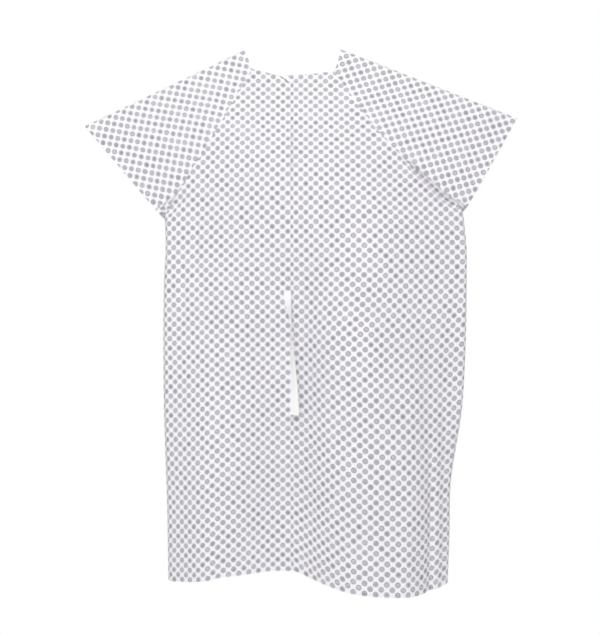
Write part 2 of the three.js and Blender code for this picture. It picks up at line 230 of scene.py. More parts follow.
def ripple(layer, x, z):
    """Low waves in the hanging cloth, upright ones stronger towards the foot."""
    shift = 1.7 if layer == "front" else 0
    low = smooth(-z, 250, 1000)
    made = 1.3 * np.sin(x / 31 + 0.0013 * z + WAVES[0, 0] + shift) * (0.25 + low)
    made += 0.9 * np.sin(x / 17.5 - 0.0021 * z + WAVES[1, 0] + shift) * (0.2 + 0.6 * low)
    made += 0.8 * np.sin((x + 0.55 * z) / 43 + WAVES[2, 0] + shift)
    made += 0.7 * np.sin((x - 0.65 * z) / 37 + WAVES[3, 0] + shift)
    made += 0.35 * np.sin((0.8 * x + z) / 19 + WAVES[4, 0]) * np.sin((x - 0.4 * z) / 29 + WAVES[4, 1])
    return made


def layer_y(layer, x, z):
    """The y of a layer at a point of the outline: 0 on every closed fold, fullest in the middle."""
    x, z = np.broadcast_arrays(np.asarray(x, float), np.asarray(z, float))
    closing, beyond = np.ones(x.shape), np.zeros(x.shape)
    for side, half in HALVES.items():
        top, _, arm = half["raglan"]
        below_top = np.maximum(0, half["sign"] * off_line(half["neck"], half["tip"], x, z))
        past_raglan = np.where(z > arm[1], -half["sign"] * off_line(top, arm, x, z), 0)
        closing = closing * flat_fold(below_top, SHOULDER_REACH, *SHOULDER_FOLD)
        closing = closing * flat_fold(*in_from_side(side, x, z), *SIDE_FOLD[side])
        beyond = np.maximum(beyond, past_raglan / SLEEVE_LENGTH)
    full = lerp(CHEST[layer], through(FOOT_FULLNESS[layer], x), smooth(-z, -FOLDS_FROM, -FOLDS_FULL))
    full = full * (1 - SLEEVE_FLATTEN * smooth(beyond, 0, 1))
    detail = ripple(layer, x, z) * smooth(closing, 0.15, 0.75)
    if layer == "back":
        for points, width, depth in CREASES:
            d, along = distance_to(points, x, z)
            ends = smooth(along, 0, 0.3) * (1 - smooth(along, 0.75, 1.0))
            pressed = smooth(closing, 0.05, 0.35) * (0.25 + 0.75 * ends)
            detail = detail - depth * np.exp(-((d / width) ** 2)) * pressed
    return (full * closing + detail) * (-1 if layer == "back" else 1)


# ---- Pattern pieces ----
# Heights of each panel's foot, underarm row and neck edge, as (share of the way across, z). A back panel's
# share runs from its side seam to its free edge, the front's from the left side to the right.
BACK_LEVELS = {
    "left": (
        ((0, -1158), (0.105, -1153.6), (0.21, -1149.6), (0.35, -1142), (0.43, -1137), (0.57, -1133.2),
         (0.83, -1131.4), (1, -1132)),
        ((0, -371), (1, -372)),
        ((0, -41), (0.5, -52), (0.8, -61), (1, -74)),
    ),
    "right": (
        ((0, -1158), (0.078, -1165), (0.151, -1169), (0.257, -1167), (0.372, -1163.2), (0.441, -1160),
         (0.508, -1156.5), (0.6, -1149.5), (0.69, -1141.5), (0.76, -1133), (0.9, -1127), (1, -1126)),
        ((0, -355.5), (1, -372)),
        ((0, -47), (0.5, -55), (1, -57)),
    ),
}
FRONT_LEVELS = (
    ((0, -1162), (0.12, -1146), (0.5, -1136), (0.88, -1148), (1, -1168)),
    ((0, -371), (1, -355.5)),
    ((0, -41), (0.15, -69), (0.3, -90), (0.5, -101), (0.7, -93), (0.85, -73), (1, -47)),
)


def row_height(levels, row, share):
    foot, arm, neck = (through(level, share) for level in levels)
    below = lerp(foot, arm, row / UNDERARM_ROW)
    above = lerp(arm, neck, (row - UNDERARM_ROW) / (1 - UNDERARM_ROW))
    return np.where(row < UNDERARM_ROW, below, above)


def side_edge_x(half, levels, row, share, rise):
    z = row_height(levels, row, share) + rise
    return np.where(row < UNDERARM_ROW, edge_x(half, "side", z), edge_x(half, "raglan", z))


def back_surface(side):
    """(row, share, across, rise) to points: across and rise are added in mm, across towards +X."""
    half = HALVES[side]
    foot_edge, neck_edge = FREE_EDGE[side]

    def surface(row, share, across=0.0, rise=0.0):
        row, share, across, rise = np.broadcast_arrays(row, share, across, rise)
        edge = side_edge_x(half, BACK_LEVELS[side], row, 0, rise)
        x = lerp(edge, lerp(foot_edge, neck_edge, row), share) + across
        z = row_height(BACK_LEVELS[side], row, share) + rise
        y = layer_y("back", x, z) - FOLD_CLEARANCE
        if side == "right":  # it goes deeper where the left panel's two hems lie on each other
            deeper = LAP_DEEPER * (1 - smooth(z, -1110, -1085))
            y = y + (LAP_INSET + deeper) * (1 - smooth(x, 0, LAP_FADE))
        else:
            places = smooth(-z, 165, 195) * smooth(z, -295, -262)
            places = places + 0.3 * smooth(-z, 500, 560) * smooth(z, -660, -600)
            y = y - EDGE_LIFT * np.exp(-(((x - foot_edge) / EDGE_LIFT_WIDTH) ** 2)) * places
        return np.stack([x, y, z], -1)

    return surface


def front_surface(row, share, across=0.0, rise=0.0):
    row, share, across, rise = np.broadcast_arrays(row, share, across, rise)
    left = side_edge_x(HALVES["left"], FRONT_LEVELS, row, 0, rise)
    right = side_edge_x(HALVES["right"], FRONT_LEVELS, row, 1, rise)
    x = lerp(left, right, share) + across
    z = row_height(FRONT_LEVELS, row, share) + rise
    return np.stack([x, layer_y("front", x, z) + FOLD_CLEARANCE, z], -1)


def sleeve_surface(side):
    """(along, wrap) to points: wrap is -1 at the back raglan seam, 0 on the top fold, 1 in front."""
    half = HALVES[side]
    (neck, tip), (top, _, arm) = (half["neck"], half["tip"]), half["raglan"]

    def surface(along, wrap):
        along, wrap = np.broadcast_arrays(along, wrap)
        z = lerp(top[1], arm[1], along)
        seam_x = edge_x(half, "raglan", z)
        w = np.abs(wrap)
        share = lerp(1 - np.cos(math.pi * w / 2), (1 - np.cos(math.pi * w)) / 2, along)
        x = lerp(lerp(neck[0], tip[0], along), seam_x, share)
        height = lerp(lerp(neck[1], tip[1], along), z, share)
        apart = np.sign(wrap) * FOLD_CLEARANCE * np.minimum(1, 4 * w)
        y = np.where(wrap < 0, layer_y("back", x, height), layer_y("front", x, height))
        return np.stack([x, y + apart, height], -1)

    return surface


# ---- Meshes ----
SHARP_FOLD = 50  # degrees between faces, from which an edge is shaded sharp
# Steps over which normals are taken: in mm on a body panel, and as a share on a sleeve.
CLOTH_STEP, THREAD_STEP, SLEEVE_STEP = 0.4, 0.5, 1e-3


def grid_normals(points):
    """Outward unit normals of a grid of points: rows run down it and columns to the right, as seen."""
    down, across = np.gradient(points, axis=0), np.gradient(points, axis=1)
    return unit(np.cross(down, across))


def run_lengths(points, axis=0):
    """Distances along a grid's columns (axis 0) or rows (axis 1), starting at 0."""
    step = np.linalg.norm(np.diff(points, axis=axis), axis=-1)
    start = np.zeros_like(np.take(step, [0], axis))
    return np.concatenate([start, np.cumsum(step, axis)], axis)


def on_panel(surface, outward, row, share, across=0.0, rise=0.0, depth=0.0, step=THREAD_STEP):
    """Points at a depth below a body panel's outer face, and its normals there."""
    row, share, across, rise = np.broadcast_arrays(row, share, across, rise)
    to_x = surface(row, share, across + step, rise) - surface(row, share, across - step, rise)
    to_z = surface(row, share, across, rise + step) - surface(row, share, across, rise - step)
    normals = unit(np.cross(to_x, to_z)) * outward
    return surface(row, share, across, rise) - normals * np.asarray(depth)[..., None], normals


def on_sleeve(side, along, wrap, depth=0.0):
    """Points at a depth below a sleeve's outer face, and its normals there."""
    surface = sleeve_surface(side)
    along, wrap = np.broadcast_arrays(along, wrap)
    step = SLEEVE_STEP
    down = surface(np.minimum(along + step, 1), wrap) - surface(np.maximum(along - step, 0), wrap)
    across = surface(along, np.minimum(wrap + step, 1)) - surface(along, np.maximum(wrap - step, -1))
    normals = unit(np.cross(down, across)) * HALVES[side]["sign"]
    return surface(along, wrap) - normals * np.asarray(depth)[..., None], normals


def add_mesh(name, points, faces, materials, uv=None, kinds=None, sharp=None):
    """A smooth mesh from points in mm; uv is each point's place on the flat cloth, also in mm."""
    mesh = bpy.data.meshes.new(name)
    mesh.from_pydata((points.reshape(-1, 3) * MM).tolist(), [], faces)
    for material in materials:
        mesh.materials.append(material)
    if kinds is not None:
        mesh.polygons.foreach_set("material_index", kinds.astype(np.int32))
    if uv is not None:
        corners = np.zeros(len(mesh.loops), np.int32)
        mesh.loops.foreach_get("vertex_index", corners)
        uv = (uv.reshape(-1, 2) * MM)[corners].astype(np.float32)
        mesh.uv_layers.new(name="cloth").data.foreach_set("uv", uv.ravel())
    mesh.polygons.foreach_set("use_smooth", np.ones(len(mesh.polygons), bool))
    if sharp:
        mesh.set_sharp_from_angle(angle=math.radians(sharp))
    return add_object(name, mesh)


def shell(name, points, materials, uv, thickness=CLOTH):
    """A closed sheet whose outer face is a grid of points; the materials are outside and inside."""
    corner = np.arange(points.size // 3).reshape(points.shape[:2])
    outside = np.stack([corner[:-1, :-1], corner[1:, :-1], corner[1:, 1:], corner[:-1, 1:]], -1)
    outside = outside.reshape(-1, 4)
    loop = np.concatenate([corner[0, :-1], corner[:-1, -1], corner[-1, :0:-1], corner[:0:-1, 0]])
    after = np.roll(loop, -1)
    rim = np.stack([loop, after, after + corner.size, loop + corner.size], -1)
    faces = np.concatenate([outside, outside[:, ::-1] + corner.size, rim])
    kinds = np.repeat([0, 1, 0], [len(outside), len(outside), len(rim)])
    both = np.stack([points, points - grid_normals(points) * thickness])
    return add_mesh(name, both, faces.tolist(), materials, np.stack([uv, uv]), kinds, SHARP_FOLD)


def ring_faces(rings, sides, copies=1):
    """Faces of closed tubes, each made of rings of points one after another."""
    ids = np.arange(copies * rings * sides).reshape(copies, rings, sides)
    after = np.roll(ids, -1, axis=2)
    walls = np.stack([ids[:, :-1], after[:, :-1], after[:, 1:], ids[:, 1:]], -1)
    return walls.reshape(-1, 4).tolist() + ids[:, 0, ::-1].tolist() + ids[:, -1].tolist()


# Depths in from a turned edge's fold, as shares of the turned depth, and angles round the fold.
TURNED_PARTS = (1, 0.75, 0.5, 0.25, 0.12)
FOLD_ANGLES = (math.pi, 0.75 * math.pi, 0.5 * math.pi, 0.25 * math.pi, 0)
FOLD_ROW = len(TURNED_PARTS) + len(FOLD_ANGLES) // 2
TURNED_DEPTH = 2 * TURN
SEAM_GROOVE, SEAM_GROOVE_WIDTH = 0.9, 2.4
FINE, FAR = (1.6, 3, 5, 8, 12), (9, 5, 3, 1.6, 0.7, 0)  # the finer stations by the near and far edges


def stations(turn, fixed, middle, far):
    """Rows or columns of a piece, as (share, distance from the near edge, distance from the far edge,
    angle round the near edge's fold, 1 on the fold itself). `turn` is the depth of the turned edge."""
    made = []
    if turn:
        made += [(0, turn * part, 0, math.pi, 0) for part in TURNED_PARTS]
        made += [(0, 0, 0, angle, 1) for angle in FOLD_ANGLES]
    made += [(0, d, 0, 0, 0) for d in (fixed if turn else (0, *fixed))]
    for share in np.linspace(0, 1, middle + 1)[1:-1]:
        made.append((share, fixed[-1] * (1 - share), far[0] * share, 0, 0))
    made += [(1, 0, d, 0, 0) for d in far]
    return np.array(made, float).T


def seam_groove(distance):
    return SEAM_GROOVE * np.exp(-((distance / SEAM_GROOVE_WIDTH) ** 2))


def pulled_in(surface, outward, row_stations, column_stations, direction):
    """The grid of a body panel, with its turned edges laid inside it.

    Rows run up from the hem, columns from the near edge; `direction` is +1 where that runs to +X."""
    share_r, near_r, far_r, angle_r, fold_r = (v[:, None] for v in row_stations)
    share_c, near_c, far_c, angle_c, fold_c = (v[None, :] for v in column_stations)
    rise = np.where(fold_r > 0, TURN * (1 - np.sin(angle_r)), near_r) - far_r
    on_hem = 1 - smooth(rise + 2000 * share_r, HEM_DEPTH, HEM_DEPTH + 6)
    radius = TURN * lerp(1, 3, on_hem)  # the edge folds round the hem's extra layers
    across = np.where(fold_c > 0, radius * (1 - np.sin(angle_c)), near_c) - far_c
    depth = TURN * (1 - np.cos(angle_r)) * np.cos(angle_c) + radius * (1 - np.cos(angle_c))
    depth = depth + np.where(share_c == 1, seam_groove(far_c), 0)
    return on_panel(surface, outward, share_r, share_c, direction * across, rise, depth, CLOTH_STEP)[0]


def width_height(points):
    """A cut piece's width and height in metres, and its area, from its outer face."""
    across, down = run_lengths(points, 1).max() * MM, run_lengths(points).max() * MM
    a, b = points[1:, 1:] - points[:-1, :-1], points[1:, :-1] - points[:-1, 1:]
    area = np.linalg.norm(np.cross(a, b), axis=-1).sum() / 2 * MM * MM
    return round(float(across), 3), round(float(down), 3), round(float(min(area, across * down)), 3)


# ---- The print's place on the cloth ----
UNDERARM_Z, UNDERARM_V = -371.5, 762.0  # height of the underarm level, and its place up the print
RIGHT_PRINT_SHIFT, RIGHT_PRINT_SLACK = 3.5, 0.94  # this panel's cloth gives, so its print is wider
RIGHT_GATHER, RIGHT_GATHER_WIDTH = 10.0, 70  # but it lies closer beside the opening, above the waist
RIGHT_GATHER_RISE = (560, 820)
SLEEVE_PRINT_SLACK = {"left": (1.02, 0.92), "right": (0.98, 0.95)}
SLEEVE_GRAIN = {"left": 0.585, "right": -0.455}  # the direction of the sleeve's threads, in radians
TABLE_REACH, TABLE_STEP = 500, 2.5


def flat_lengths(layer, origin, turn):
    """A look-up from (x, z) to the lengths over a layer's cloth from the origin, along and across `turn`."""
    count = int(TABLE_REACH / TABLE_STEP)
    places = np.arange(-count, count + 1) * TABLE_STEP
    along, over = np.meshgrid(places, places, indexing="ij")
    cos, sin = math.cos(turn), math.sin(turn)
    y = layer_y(layer, origin[0] + along * cos - over * sin, origin[1] + along * sin + over * cos)
    tables = [run_lengths(np.stack([places[:, None] + 0 * y, y], -1)),
              run_lengths(np.stack([places + 0 * y, y], -1), 1)]
    tables = [tables[0] - tables[0][count], tables[1] - tables[1][:, count, None]]

    def look_up(x, z):
        dx, dz = x - origin[0], z - origin[1]
        p, q = ((v / TABLE_STEP + count) for v in (dx * cos + dz * sin, dz * cos - dx * sin))
        i, j = (np.clip(np.floor(v), 0, 2 * count - 1).astype(int) for v in (p, q))
        f, g = p - i, q - j
        return [lerp(lerp(t[i, j], t[i + 1, j], f), lerp(t[i, j + 1], t[i + 1, j + 1], f), g) for t in tables]

    return look_up


def panel_uv(layer, points, zero, direction):
    """Where a body panel's points lie on the flat cloth, in mm: u towards +X from `zero`, v up from the hem.

    The rows of print are level at the underarms, and upright above them."""
    x, z = points[..., 0], points[..., 2]
    u = direction * run_lengths(points * (1, 1, 0), 1)
    v = run_lengths(points * (0, 1, 1))
    v = v - v[FOLD_ROW]
    at_arm = np.array([np.interp(UNDERARM_Z, a[FOLD_ROW:], b[FOLD_ROW:]) for a, b in zip(z.T, v.T)])
    above = flat_lengths(layer, (0, UNDERARM_Z), 0)(x, z)[1]
    v = np.where(z > UNDERARM_Z, UNDERARM_V + above, v * UNDERARM_V / at_arm)
    return np.stack([u - zero(x, u), v], -1)


def from_edge_fold(x, u):
    return u[:, FOLD_ROW, None]


def from_plumb_line(first):
    """Each row's u where x is that of the left panel's free edge, from a row's column `first` on."""
    edge = FREE_EDGE["left"][0]
    return lambda x, u: np.array([np.interp(edge, a[first:], b[first:]) for a, b in zip(x, u)])[:, None]


def right_panel_uv(points):
    u, v = np.moveaxis(panel_uv("back", points, from_plumb_line(FOLD_ROW), 1), -1, 0)
    gathered = (1 - np.exp(-np.maximum(u, 0) / RIGHT_GATHER_WIDTH)) * smooth(v, *RIGHT_GATHER_RISE)
    return np.stack([u * RIGHT_PRINT_SLACK + RIGHT_PRINT_SHIFT + RIGHT_GATHER * gathered, v], -1)


# ---- Materials ----
class Wire:
    """A node's output. Sums with it make maths nodes."""

    def __init__(self, graph, socket):
        self.graph, self.socket = graph, socket

    def __add__(self, other):
        return self.graph.maths("ADD", self, other)

    def __mul__(self, other):
        return self.graph.maths("MULTIPLY", self, other)

    def __sub__(self, other):
        return self.graph.maths("SUBTRACT", self, other)

    def __rsub__(self, other):
        return self.graph.maths("SUBTRACT", other, self)

    def __truediv__(self, other):
        return self.graph.maths("DIVIDE", self, other)

    __radd__, __rmul__ = __add__, __mul__


class Graph:
    """A node tree, with short calls that add nodes to it."""

    def __init__(self, tree):
        self.tree = tree

    def feed(self, node, inputs):
        """Links wires to a node's inputs and sets the others; a tuple is a colour."""
        for key, value in inputs.items():
            if isinstance(value, Wire):
                self.tree.links.new(value.socket, node.inputs[key])
            else:
                node.inputs[key].default_value = (*value, 1) if isinstance(value, tuple) else value

    def add(self, kind, inputs, output=0, **settings):
        made = self.tree.nodes.new("ShaderNode" + kind)
        for key, value in settings.items():
            setattr(made, key, value)
        self.feed(made, inputs)
        return Wire(self, made.outputs[output])

    def maths(self, operation, *values):
        return self.add("Math", dict(enumerate(values)), operation=operation)

    def sine(self, value, period=math.tau):
        return self.maths("SINE", value * (math.tau / period))

    def ramp(self, value, low, high, start=0, end=1):
        """Smoothly from start to end as value goes from low to high."""
        inputs = {"Value": value, "From Min": low, "From Max": high, "To Min": start, "To Max": end}
        return self.add("MapRange", inputs, "Result", interpolation_type="SMOOTHSTEP")

    def mix(self, factor, a, b):
        return self.add("Mix", {"Factor": factor, 6: a, 7: b}, 2, data_type="RGBA")

    def split(self, vector):
        parts = self.add("SeparateXYZ", {0: vector}).socket.node
        return [Wire(self, socket) for socket in parts.outputs]


class Material(Graph):
    """A material's node tree, with its cloth maps, noises and bumps."""

    def __init__(self, name, colour, roughness, sheen=0.0):
        self.material = bpy.data.materials.new(name)
        self.material.use_nodes = True
        self.material.diffuse_color = (*colour, 1)
        super().__init__(self.material.node_tree)
        self.shader = self.tree.nodes["Principled BSDF"]
        self.feed(self.shader, {"Base Color": colour, "Roughness": roughness, "Sheen Weight": sheen,
                                "Sheen Roughness": 0.5, "Specular IOR Level": 0.3})

    def colour(self, colour):
        self.feed(self.shader, {"Base Color": colour})
        return self.material

    def cloth_place(self):
        """The point on the flat cloth, in mm, as separate u and v."""
        u, v, _ = self.split(self.add("UVMap", {}, uv_map="cloth"))
        return u * 1000, v * 1000

    def weave(self, places, period):
        u, v = (self.sine(place, period) for place in places)
        return u * v

    def noise(self, scale, detail=2.0):
        place = self.add("TexCoord", {}, "Object")
        return self.add("TexNoise", {"Vector": place, "Scale": scale, "Detail": detail}, "Fac")

    def bump(self, height, distance, strength=1.0, under=None):
        inputs = {"Strength": strength, "Distance": distance, "Height": height}
        normal = self.add("Bump", {**inputs, "Normal": under} if under else inputs, "Normal")
        self.feed(self.shader, {"Normal": normal})
        return normal


CELL = (21.9, 20.1)  # the print's repeat, across and up; a second motif sits in its middle
FIRST_MOTIF = (-7.0, 5.0)  # from the free edge and up from the hem
RING_RADIUS, RING_DOTS, DOT_RADIUS, HEART_RADIUS = 4.4, 12, 1.12, 2.1
INK_EDGE = 0.12  # half the width over which ink fades at its edge
CLOTH_WHITE, CLOTH_SHADE = (0.895, 0.88, 0.935), 0.975
INK, HEART_INK = (0.035, 0.033, 0.04), (0.015, 0.015, 0.018)


def nearest_motif(graph, places, shift):
    """Distance from the nearest motif of one lattice, the angle round it, and its two counts."""
    offsets, counts = [], []
    for place, cell, first in zip(places, CELL, FIRST_MOTIF):
        cells = (place - first) / cell + (0.5 + shift)
        counts.append(graph.maths("FLOOR", cells) - shift)
        offsets.append((graph.maths("FRACT", cells) - 0.5) * cell)
    x, y = offsets
    return graph.maths("SQRT", x * x + y * y), graph.maths("ARCTAN2", y, x), *counts


def printed_cloth(name, ink_strength):
    """Cloth printed with rings of dots round a darker middle, on two crossed lattices."""
    graph = Material(name, CLOTH_WHITE, 0.88, sheen=0.12)
    places = graph.cloth_place()
    one, other = (nearest_motif(graph, places, shift) for shift in (0, 0.5))
    first = graph.maths("LESS_THAN", one[0], other[0])
    rest = 1 - first
    distance = graph.maths("MINIMUM", one[0], other[0])
    angle, across, up = (a * first + b * rest for a, b in zip(one[1:], other[1:]))

    def own_strength(seed):
        """A number from 0 to 1 of each motif's own, as a hand-fed screen print has."""
        motif = graph.add("CombineXYZ", {0: across, 1: up, 2: seed})
        return graph.add("TexWhiteNoise", {"Vector": motif}, "Value", noise_dimensions="3D")

    def inked(reach, radius):
        return graph.ramp(reach + rough_edge, radius + INK_EDGE, radius - INK_EDGE)

    dots = graph.maths("FRACT", angle * (RING_DOTS / math.tau) + (RING_DOTS + 8.5))
    around = (dots - 0.5) * (math.tau / RING_DOTS) * distance
    out = distance - RING_RADIUS
    rough_edge = (graph.noise(2600) - 0.5) * 0.35
    ring = inked(graph.maths("SQRT", around * around + out * out), DOT_RADIUS)
    heart = inked(distance, HEART_RADIUS)
    worn = graph.ramp(graph.noise(900, 3), 0.1, 0.75)
    ring = ring * (0.68 + worn * 0.14 + own_strength(0.5) * 0.18)
    heart = heart * (0.55 + own_strength(3.5) * 0.45)
    shade = tuple(c * CLOTH_SHADE for c in CLOTH_WHITE)
    colour = graph.mix(graph.ramp(graph.noise(9), 0.3, 0.7), CLOTH_WHITE, shade)
    colour = graph.mix(ring * ink_strength, colour, INK)
    colour = graph.mix(heart * ink_strength, colour, HEART_INK)
    rough = graph.bump(graph.weave(places, 0.46) * 0.25 + graph.noise(420, 3), 0.00012, 0.55)
    graph.bump(graph.noise(38, 3), 0.0012, 0.35, rough)
    return graph.colour(colour)


def twill_tape():
    graph = Material("twill_tape", (0.96, 0.955, 0.965), 0.8, sheen=0.15)
    u, v = graph.cloth_place()
    ridge = graph.sine(graph.maths("PINGPONG", u, 5.0) + v, 1.1)
    graph.bump(ridge + graph.sine(v, 0.55) * 0.4, 0.00012, 0.45)
    # Painted shade and highlight: the tape's colour is darker in the grooves between its twill ridges and
    # lighter on their crests, following the bump's height.
    return graph.colour(graph.mix(graph.ramp(ridge, -1, 1), (0.945, 0.94, 0.95), (0.985, 0.98, 0.99)))


def woven_binding():
    graph = Material("woven_binding", (0.95, 0.947, 0.955), 0.82, sheen=0.12)
    places = graph.cloth_place()
    puckers = graph.bump(graph.sine(places[1], 6.5) * graph.noise(60), 0.0005, 0.5)
    graph.bump(graph.weave(places, 0.5), 0.0001, 0.5, puckers)
    return graph.material


def spun_thread():
    graph = Material("spun_thread", (0.9, 0.895, 0.91), 0.6, sheen=0.25)
    graph.bump(graph.noise(3200), 0.00012, 0.7)
    return graph.colour(graph.mix(graph.noise(700), (0.86, 0.855, 0.88), (0.94, 0.935, 0.945)))


def woven_label():
    graph = Material("woven_label", (0.88, 0.88, 0.87), 0.5, sheen=0.1)
    graph.bump(graph.sine(graph.cloth_place()[1], 0.6), 0.0001, 0.6)
    return graph.colour(graph.mix(graph.noise(30), (0.86, 0.86, 0.85), (0.9, 0.9, 0.89)))


def moulded_plastic():
    graph = Material("moulded_plastic", (0.82, 0.82, 0.82), 0.35)
    graph.bump(graph.noise(900), 0.00005, 0.4)
    return graph.colour(graph.mix(graph.noise(120), (0.8, 0.8, 0.8), (0.85, 0.85, 0.85)))


FRONT_OF_CLOTH = printed_cloth("printed_cloth", 1.0)
BACK_OF_CLOTH = printed_cloth("printed_cloth_reverse", 0.22)
TAPE, BINDING, THREAD = twill_tape(), woven_binding(), spun_thread()
LABEL, PLASTIC = woven_label(), moulded_plastic()

# ---- How pieces move ----
JOINTS = {joint["name"]: joint for joint in frame["joints"]}
FLAP_BEND, SLEEVE_BEND = 0.036, 0.2  # width of the cloth that would bend, in metres
FLAP_JOINTS = {"left_flap": ("left_flap_fold", 1), "right_flap": ("right_flap_fold", -1)}


def bend_with(piece, body):
    """Works out where the cloth would bend with a flap beyond its fold, or with a sleeve beyond its raglan
    seam; the piece only has its transform baked into its mesh.
    """
    if body in FLAP_JOINTS:
        name, toward = FLAP_JOINTS[body]
        axis, start = JOINTS[name]["axis"], np.array(JOINTS[name]["pos_m"])
        across = unit(np.cross(axis, (0, 1, 0)))
        end = start + across * toward * np.sign(across[0]) * FLAP_BEND
    else:
        half = HALVES[body.split("_")[0]]
        (top_x, top_z), _, (arm_x, arm_z) = half["raglan"]
        start = np.array([top_x, 0, top_z]) * MM
        across = unit(np.array([arm_z - top_z, 0, top_x - arm_x], float))
        end = start + across * np.sign(across[0]) * half["sign"] * SLEEVE_BEND
    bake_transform(piece)


def settle(piece, body, slot, *nodes):
    """Rides on the body or a tie; a piece on a flap or sleeve only has its transform baked in. It stands for
    nodes.
    """
    if body == "body" or body.endswith("tie"):
        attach(piece, body)
    else:
        bend_with(piece, body)
    if nodes:
        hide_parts(*nodes)


def add_cloth(name, points, uv, body, *nodes):
    piece = shell(name, points, [FRONT_OF_CLOTH, BACK_OF_CLOTH], uv)
    settle(piece, body, "print", *nodes)
    width, height, area = width_height(points)


# ---- Body panels ----
BODY_ROWS = stations(HEM_DEPTH, FINE + (18, 24), int(1120 / GRID), (8, 5, 3, 1.5, 0))
BACK_WIDTH, FRONT_WIDTH = {"left": 290, "right": 460}, 640
BACK = {side: back_surface(side) for side in HALVES}


def add_back(side):
    direction = HALVES[side]["sign"]
    columns = stations(EDGE_HEM_DEPTH, FINE, int(BACK_WIDTH[side] / GRID), FAR)

    def from_free_edge(row, share, across, rise):
        return BACK[side](row, 1 - share, across, rise)

    points = pulled_in(from_free_edge, 1, BODY_ROWS, columns, direction)
    uv = right_panel_uv(points) if side == "right" else panel_uv("back", points, from_edge_fold, direction)
    add_cloth(f"back_{side}_cloth", points[::-1, ::direction], uv[::-1, ::direction], f"{side}_flap",
              f"back_panel_{side}", f"back_flap_{side}")


def add_front():
    columns = stations(0, (0.7, 1.6, 3, 5, 9), int(FRONT_WIDTH / GRID), FAR)
    points = pulled_in(front_surface, -1, BODY_ROWS, columns, 1)
    uv = panel_uv("front", points, from_plumb_line(0), 1)
    add_cloth("front_cloth", points[::-1, ::-1], uv[::-1, ::-1], "body", "front_panel")


for side in HALVES:
    add_back(side)
add_front()


# ---- Sleeves ----
SLEEVE_GIRTH, GROOVE_GIRTH = 300, 270  # from top fold to raglan seam: for the grid, and for the seam's groove


def top_length(side):
    return math.dist(HALVES[side]["neck"], HALVES[side]["tip"])


def sleeve_grid(side):
    """The sleeve's outer face with its turned hem: rows from the neck to the hem's raw edge."""
    length = top_length(side)
    rows = stations(SLEEVE_HEM_DEPTH, FINE, int(length / GRID), (1.5, 0))
    share, near, far, angle, fold = (v[:, None] for v in rows)
    distance = np.where(fold > 0, TURN * (1 - np.sin(angle)), near) - far
    wrap = np.linspace(-1, 1, 2 * int(SLEEVE_GIRTH / GRID) + 1)[None, :]
    from_seam = np.minimum(1 + wrap, 1 - wrap) * GROOVE_GIRTH
    depth = TURN * (1 - np.cos(angle)) + seam_groove(from_seam)
    return on_sleeve(side, 1 - share - distance / length, wrap, depth)[0][::-1]


def add_sleeve(side):
    points = sleeve_grid(side)
    top_fold = points.shape[1] // 2
    uv = np.empty(points.shape[:2] + (2,))
    for layer, part in (("back", np.s_[:, : top_fold + 1]), ("front", np.s_[:, top_fold:])):
        lengths = flat_lengths(layer, HALVES[side]["tip"], SLEEVE_GRAIN[side])
        x, _, z = np.moveaxis(points[part], -1, 0)
        uv[part] = np.stack(lengths(x, z), -1) * SLEEVE_PRINT_SLACK[side]
    order = HALVES[side]["sign"]
    add_cloth(f"sleeve_{side}_cloth", points[:, ::order], uv[:, ::order], f"{side}_sleeve", f"sleeve_{side}")


for side in HALVES:
    add_sleeve(side)

# ---- Stitching ----
STITCH_PITCH, STITCH_LENGTH, STITCH_RADIUS, STITCH_SIDES = 3.0, 2.35, 0.24, 5
HEM_STITCH_INSET = 1.5  # from the turned layer's raw edge
# Rings of one stitch: the share of its length, and its radius and bow in radii of the thread.
BIT_SHARES = np.array([0, 0.08, 0.5, 0.92, 1])
BIT_WIDTHS = np.array([0.25, 1, 1.05, 1, 0.25])
BIT_BOW = np.array([-0.5, 0.1, 0.45, 0.1, -0.5])


def resample(path, spacing, *others):
    """Points at even spacing along a path, and other rows of values at the same places."""
    length = run_lengths(path)
    at = np.linspace(0, length[-1], max(2, int(round(length[-1] / spacing)) + 1))
    return [np.stack([np.interp(at, length, rows[:, k]) for k in range(3)], -1) for rows in (path, *others)]


def thread_bits(starts, ends, normals, radius=STITCH_RADIUS):
    """Rings of points of short bent threads from starts to ends, bowed out along the normals."""
    side = unit(np.cross(unit(ends - starts), normals))
    up = np.cross(side, unit(ends - starts))
    turn = np.arange(STITCH_SIDES) * math.tau / STITCH_SIDES
    centre = starts[:, None] + (ends - starts)[:, None] * BIT_SHARES[:, None]
    centre = centre + up[:, None] * (BIT_BOW * radius)[:, None]
    ring = side[:, None, None] * np.cos(turn)[:, None] + up[:, None, None] * np.sin(turn)[:, None]
    return centre[:, :, None] + ring * (BIT_WIDTHS * radius)[:, None, None]


def add_stitches(name, bits, body, *nodes):
    """One piece of several rows of threads."""
    points = np.concatenate(bits)
    faces = [face[::-1] for face in ring_faces(len(BIT_SHARES), STITCH_SIDES, len(points))]
    settle(add_mesh(name, points, faces, [THREAD]), body, "thread", *nodes)


def running_stitch(path, normals, lift=0.05, pitch=STITCH_PITCH):
    """A row of lock stitches along a path, lying `lift` above it."""
    path, normals = resample(path, pitch, normals)
    path = path + normals * lift
    gap = unit(np.diff(path, axis=0)) * (pitch - STITCH_LENGTH) / 2
    return thread_bits(path[:-1] + gap, path[1:] - gap, normals[:-1])


def zigzag(near, far, normals, pitch=1.6, radius=0.2):
    """An overlocked edge between two lines that run side by side."""
    near, far, normals = resample(near, pitch, far, normals)
    out = thread_bits(near[:-1], far[:-1], normals[:-1], radius)
    return [out, thread_bits(far[:-1], near[1:], normals[:-1], radius)]


def both_faces(points, normals):
    """A lock stitch shows on the outer face and on the turned layer inside."""
    return [running_stitch(points, normals), running_stitch(points - normals * TURNED_DEPTH, -normals)]


